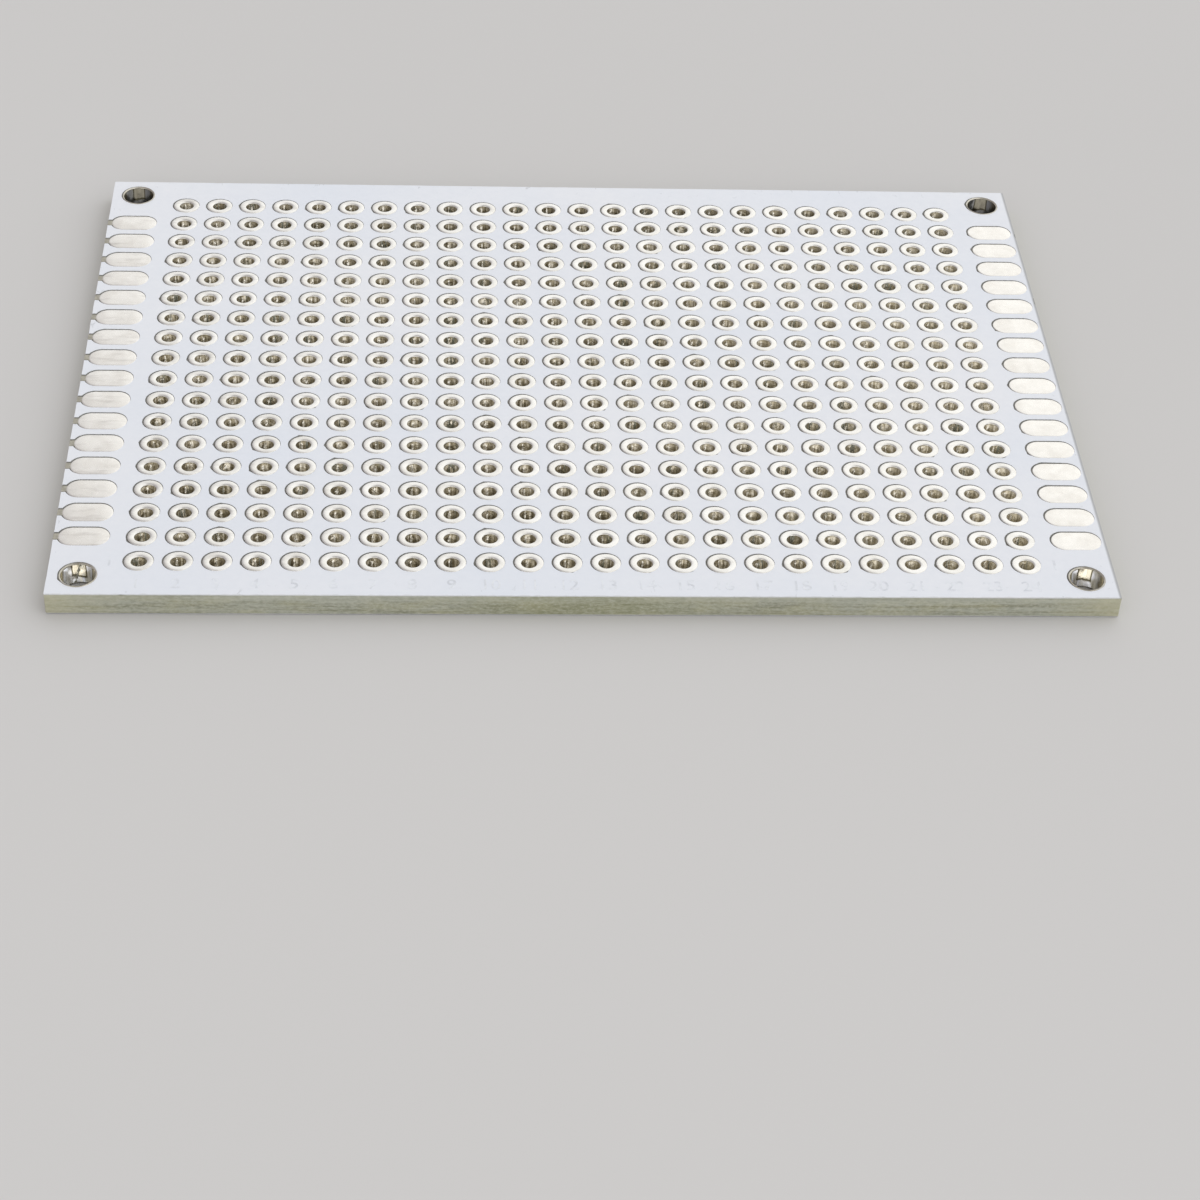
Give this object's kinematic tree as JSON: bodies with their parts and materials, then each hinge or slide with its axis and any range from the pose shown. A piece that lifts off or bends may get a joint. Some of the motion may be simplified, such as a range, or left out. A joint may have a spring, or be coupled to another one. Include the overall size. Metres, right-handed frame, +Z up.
{
  "type": "prototype board",
  "caption": "Blank double-sided prototype board: white-masked laminate with a grid of plated-through lead holes, oblong edge pads and plated corner screw holes.",
  "frame": {"origin": "middle of the board, level with the crowns of the lower lands that it rests on", "axes": "+X along the long side and the rows of holes, +Y from the front row to the back row, +Z up out of the upper face"},
  "size_m": [0.07, 0.05, 0.0017],
  "materials": {
    "glass_epoxy": "sawn glass-epoxy laminate, dull, with a woven grain on its edges",
    "solder_mask": "cool white solder mask, semi-matt",
    "pad_solder": "levelled solder, warm white, satin",
    "barrel_solder": "bright solder on copper",
    "land_solder": "levelled solder, warm white, satin, darker inside the holes"
  },
  "bodies": {
    "root": {"laminate": "glass_epoxy", "solder_mask_top": "solder_mask", "solder_mask_bottom": "solder_mask", "edge_pads_left_top": "pad_solder", "edge_pads_right_top": "pad_solder", "edge_pads_left_bottom": "pad_solder", "edge_pads_right_bottom": "pad_solder", "corner_barrel_front_left": "barrel_solder", "corner_barrel_front_right": "barrel_solder", "corner_barrel_back_left": "barrel_solder", "corner_barrel_back_right": "barrel_solder", "hole_row_01": "land_solder", "hole_row_02": "land_solder", "hole_row_03": "land_solder", "hole_row_04": "land_solder", "hole_row_05": "land_solder", "hole_row_06": "land_solder", "hole_row_07": "land_solder", "hole_row_08": "land_solder", "hole_row_09": "land_solder", "hole_row_10": "land_solder", "hole_row_11": "land_solder", "hole_row_12": "land_solder", "hole_row_13": "land_solder", "hole_row_14": "land_solder", "hole_row_15": "land_solder", "hole_row_16": "land_solder", "hole_row_17": "land_solder", "hole_row_18": "land_solder"}
  },
  "joints": []
}
